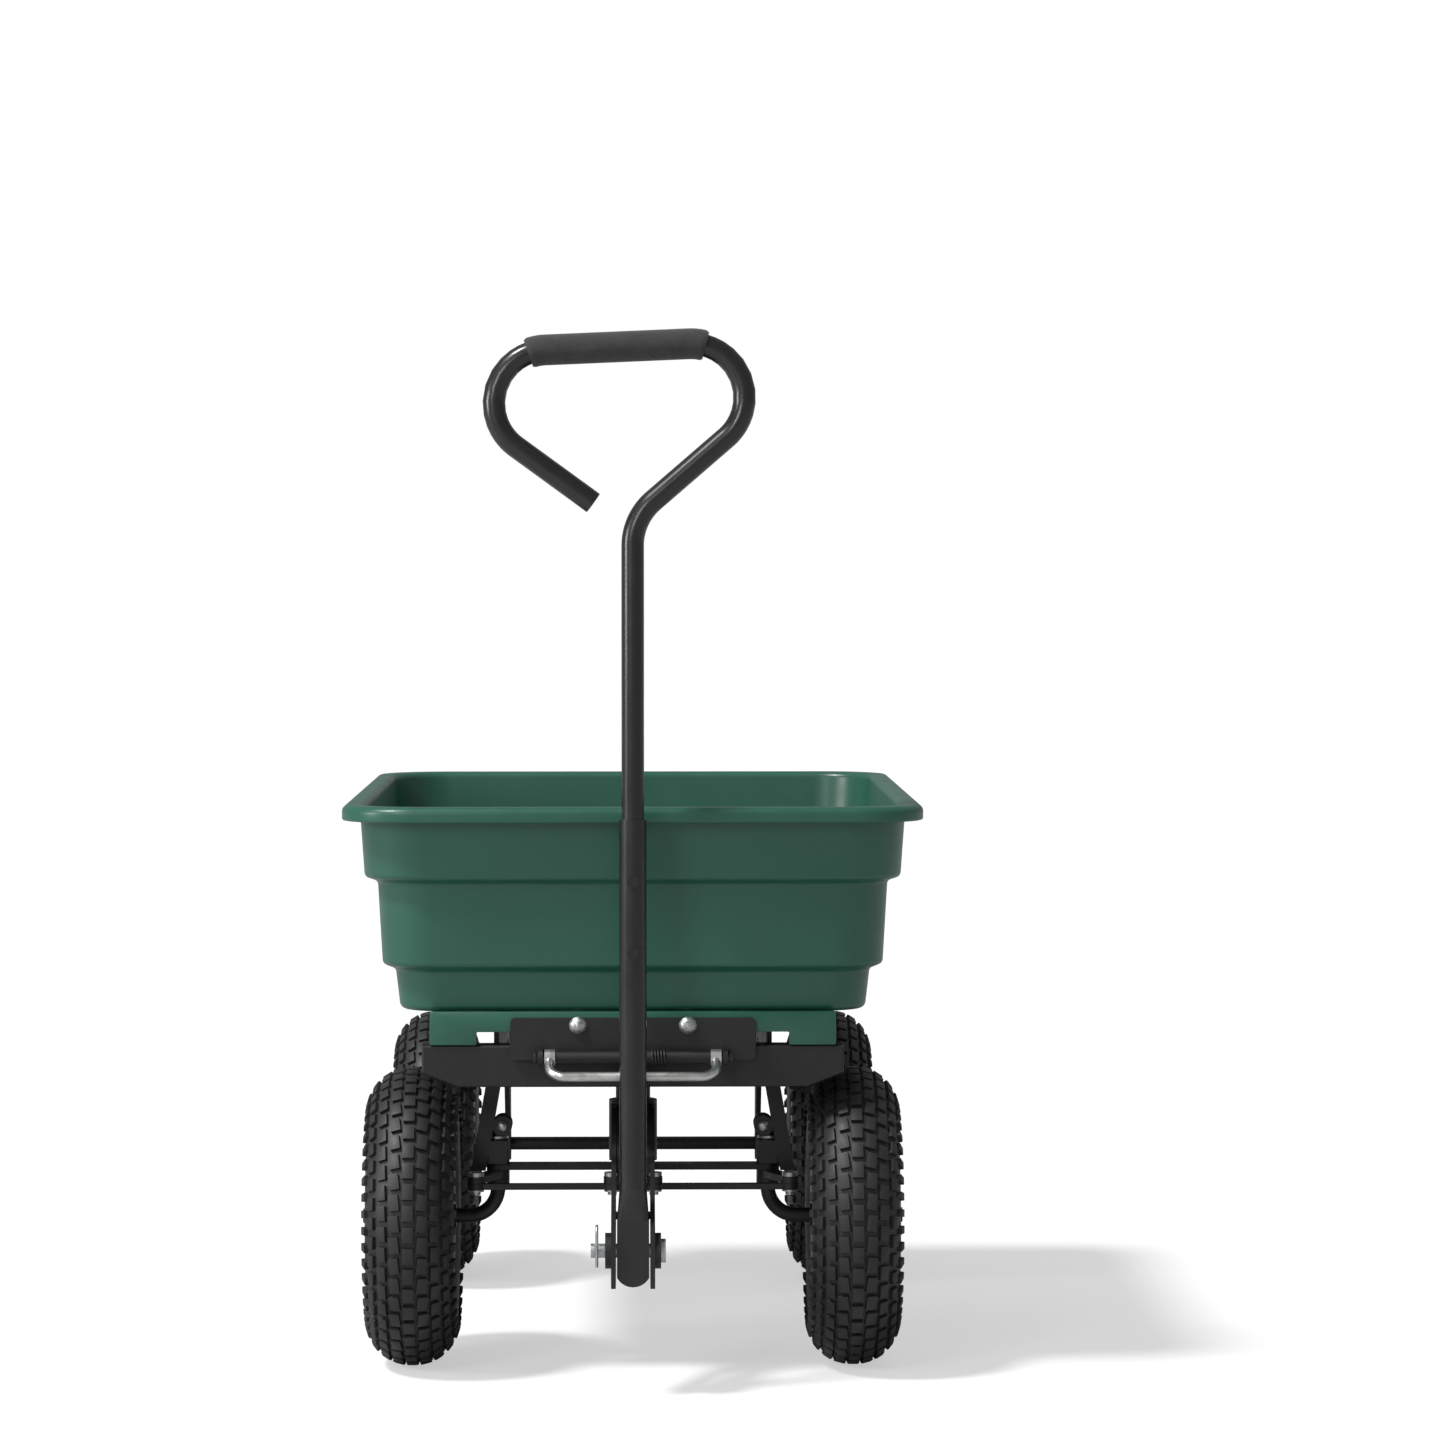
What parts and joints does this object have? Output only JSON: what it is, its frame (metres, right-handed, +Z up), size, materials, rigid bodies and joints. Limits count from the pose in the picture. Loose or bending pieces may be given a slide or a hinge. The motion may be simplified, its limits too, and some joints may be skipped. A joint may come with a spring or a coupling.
{
  "type": "garden cart",
  "caption": "Four-wheeled garden dump cart: a tipping plastic tub on a bar frame with pneumatic wheels, steered and pulled by a loop-handled drawbar.",
  "frame": {"origin": "on the ground under the middle of the cart's overall box", "axes": "+X to the right seen from the drawbar end, +Y from the drawbar to the tail, +Z up"},
  "size_m": [0.5, 0.868, 0.8984],
  "materials": {
    "tub_plastic": "moulded polyethylene, low sheen",
    "frame_enamel": "black powder coat",
    "handle_enamel": "gloss black powder coat",
    "grip_foam": "matt foam",
    "tyre_rubber": "moulded tread",
    "tube_rubber": "smooth butyl",
    "rim_zinc": "galvanised",
    "plated_steel": "zinc plated",
    "bright_steel": "bright plated",
    "black_steel": "oiled black steel",
    "bush_nylon": "nylon"
  },
  "bodies": {
    "chassis": {"side_rails": "frame_enamel", "front_cross_member": "frame_enamel", "rear_cross_member": "frame_enamel", "steering_plate": "frame_enamel", "steering_post": "frame_enamel", "front_axle": "frame_enamel", "front_braces": "frame_enamel", "rear_legs": "frame_enamel", "rear_axle": "frame_enamel", "tub_hinge_rod": "frame_enamel", "retaining_clips": "plated_steel", "frame_bolts": "plated_steel"},
    "tub": {"tub": "tub_plastic", "tub_bolts": "plated_steel", "hinge_straps": "frame_enamel", "latch_bracket": "frame_enamel", "latch_pin": "black_steel", "latch_spring": "black_steel"},
    "latch": {"release_bail": "bright_steel", "latch_hook": "frame_enamel"},
    "yoke": {"steering_yoke": "frame_enamel", "steering_bushes": "bush_nylon", "tie_rod_pins": "plated_steel", "handle_pivot_pin": "plated_steel", "r_clip": "plated_steel"},
    "tie_rod_left": {"tie_rod_left": "frame_enamel"},
    "tie_rod_right": {"tie_rod_right": "frame_enamel"},
    "knuckle_left": {"knuckle_left": "frame_enamel", "knuckle_retainers_left": "plated_steel"},
    "knuckle_right": {"knuckle_right": "frame_enamel", "knuckle_retainers_right": "plated_steel"},
    "handle": {"handle_lower": "handle_enamel", "handle_upper": "handle_enamel", "grip": "grip_foam", "handle_bolts": "handle_enamel"},
    "wheel_front_left": {"tyre_front_left": "tyre_rubber", "inner_tube_front_left": "tube_rubber", "rim_halves_front_left": "rim_zinc", "hub_front_left": "rim_zinc", "bearings_front_left": "plated_steel", "rim_bolts_front_left": "plated_steel"},
    "wheel_front_right": {"tyre_front_right": "tyre_rubber", "inner_tube_front_right": "tube_rubber", "rim_halves_front_right": "rim_zinc", "hub_front_right": "rim_zinc", "bearings_front_right": "plated_steel", "rim_bolts_front_right": "plated_steel"},
    "wheel_rear_left": {"tyre_rear_left": "tyre_rubber", "inner_tube_rear_left": "tube_rubber", "rim_halves_rear_left": "rim_zinc", "hub_rear_left": "rim_zinc", "bearings_rear_left": "plated_steel", "rim_bolts_rear_left": "plated_steel"},
    "wheel_rear_right": {"tyre_rear_right": "tyre_rubber", "inner_tube_rear_right": "tube_rubber", "rim_halves_rear_right": "rim_zinc", "hub_rear_right": "rim_zinc", "bearings_rear_right": "plated_steel", "rim_bolts_rear_right": "plated_steel"}
  },
  "joints": [
    {"name": "tub_tip", "type": "hinge", "parent": "chassis", "child": "tub", "pos_m": [0, 0.274, 0.276], "axis": [-1, 0, 0], "range_deg": [0, 60]},
    {"name": "latch_release", "type": "hinge", "parent": "tub", "child": "latch", "pos_m": [0, -0.341, 0.279], "axis": [-1, 0, 0], "range_deg": [0, 30], "stiffness_Nm_per_rad": 0.3, "springref_deg": -34.38},
    {"name": "drawbar_steer", "type": "hinge", "parent": "chassis", "child": "yoke", "pos_m": [0, -0.236, 0.2], "axis": [0, 0, 1], "range_deg": [-30, 30]},
    {"name": "handle_drop", "type": "hinge", "parent": "yoke", "child": "handle", "pos_m": [0, -0.418, 0.124], "axis": [1, 0, 0], "range_deg": [0, 95]},
    {"name": "knuckle_steer_left", "type": "hinge", "parent": "chassis", "child": "knuckle_left", "pos_m": [-0.118, -0.236, 0.13], "axis": [0, 0, 1], "range_deg": [-30, 30]},
    {"name": "tie_rod_swing_left", "type": "hinge", "parent": "yoke", "child": "tie_rod_left", "pos_m": [-0.018, -0.282, 0.161], "axis": [0, 0, 1], "range_deg": [-30, 30]},
    {"name": "knuckle_steer_right", "type": "hinge", "parent": "chassis", "child": "knuckle_right", "pos_m": [0.118, -0.236, 0.13], "axis": [0, 0, 1], "range_deg": [-30, 30]},
    {"name": "tie_rod_swing_right", "type": "hinge", "parent": "yoke", "child": "tie_rod_right", "pos_m": [0.018, -0.282, 0.161], "axis": [0, 0, 1], "range_deg": [-30, 30]},
    {"name": "wheel_spin_front_left", "type": "hinge", "parent": "knuckle_left", "child": "wheel_front_left", "pos_m": [-0.192, -0.236, 0.13], "axis": [1, 0, 0], "continuous": true},
    {"name": "wheel_spin_front_right", "type": "hinge", "parent": "knuckle_right", "child": "wheel_front_right", "pos_m": [0.192, -0.236, 0.13], "axis": [1, 0, 0], "continuous": true},
    {"name": "wheel_spin_rear_left", "type": "hinge", "parent": "chassis", "child": "wheel_rear_left", "pos_m": [-0.192, 0.304, 0.13], "axis": [1, 0, 0], "continuous": true},
    {"name": "wheel_spin_rear_right", "type": "hinge", "parent": "chassis", "child": "wheel_rear_right", "pos_m": [0.192, 0.304, 0.13], "axis": [1, 0, 0], "continuous": true}
  ],
  "couplings": [
    {"joint": "knuckle_steer_left", "follows": "drawbar_steer", "ratio": 1},
    {"joint": "tie_rod_swing_left", "follows": "drawbar_steer", "ratio": -1},
    {"joint": "knuckle_steer_right", "follows": "drawbar_steer", "ratio": 1},
    {"joint": "tie_rod_swing_right", "follows": "drawbar_steer", "ratio": -1}
  ]
}
